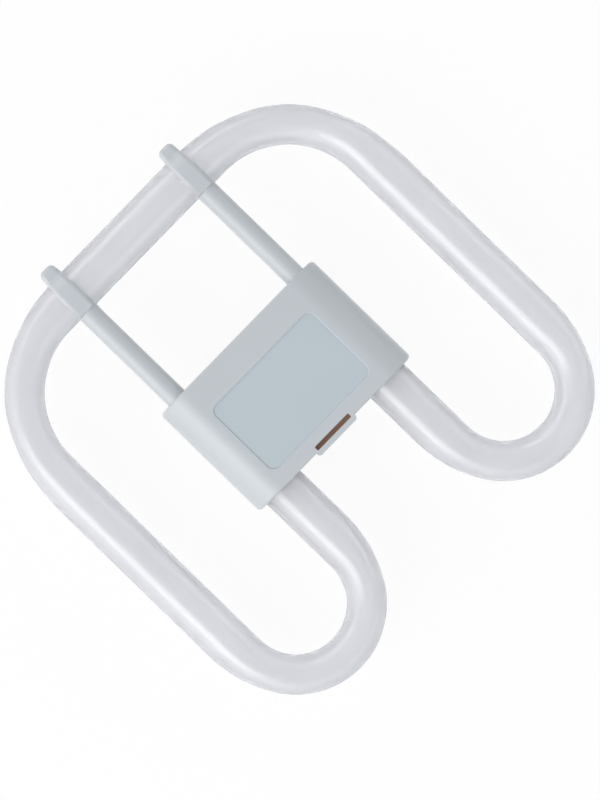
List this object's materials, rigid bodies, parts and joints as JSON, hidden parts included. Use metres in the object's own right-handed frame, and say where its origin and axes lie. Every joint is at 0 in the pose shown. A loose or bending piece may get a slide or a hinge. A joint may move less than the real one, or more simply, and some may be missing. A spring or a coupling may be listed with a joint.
{
  "type": "square double-d led lamp",
  "caption": "Flat square lamp: a bent opal tube loops back into a plug-in base in its middle, and clip legs on the base hold the tube's far side.",
  "frame": {"origin": "middle of the flat back of the base", "axes": "+X across the lamp, +Y from the open side with the socket towards the back tube, +Z from the flat back towards the lit front"},
  "size_m": [0.2032, 0.2065, 0.0335],
  "materials": {
    "opal_tube": "glossy opal white",
    "base_plastic": "satin cool white",
    "socket_plastic": "satin brown",
    "pin_brass": "bright",
    "board_laminate": "satin green",
    "can_sleeve": "glossy sleeve",
    "ferrite": "matt dark grey",
    "film_case": "glossy ochre",
    "black_epoxy": "matt black",
    "resistor_body": "satin pale green",
    "varistor_coat": "glossy blue",
    "lead_insulation": "satin red"
  },
  "bodies": {
    "root": {"tube": "opal_tube", "front_cover": "base_plastic", "back_cover": "base_plastic", "socket_insert": "socket_plastic", "driver_board": "board_laminate", "bulk_capacitor": "can_sleeve", "output_capacitor": "can_sleeve", "choke": "ferrite", "film_capacitor": "film_case", "bridge_rectifier": "black_epoxy", "fuse_resistor": "resistor_body", "output_diode": "black_epoxy", "varistor": "varistor_coat", "driver_chip": "black_epoxy", "led_lead_1": "lead_insulation", "led_lead_2": "lead_insulation", "contact_pin_1": "pin_brass", "contact_pin_2": "pin_brass", "contact_pin_3": "pin_brass", "contact_pin_4": "pin_brass"}
  },
  "joints": []
}
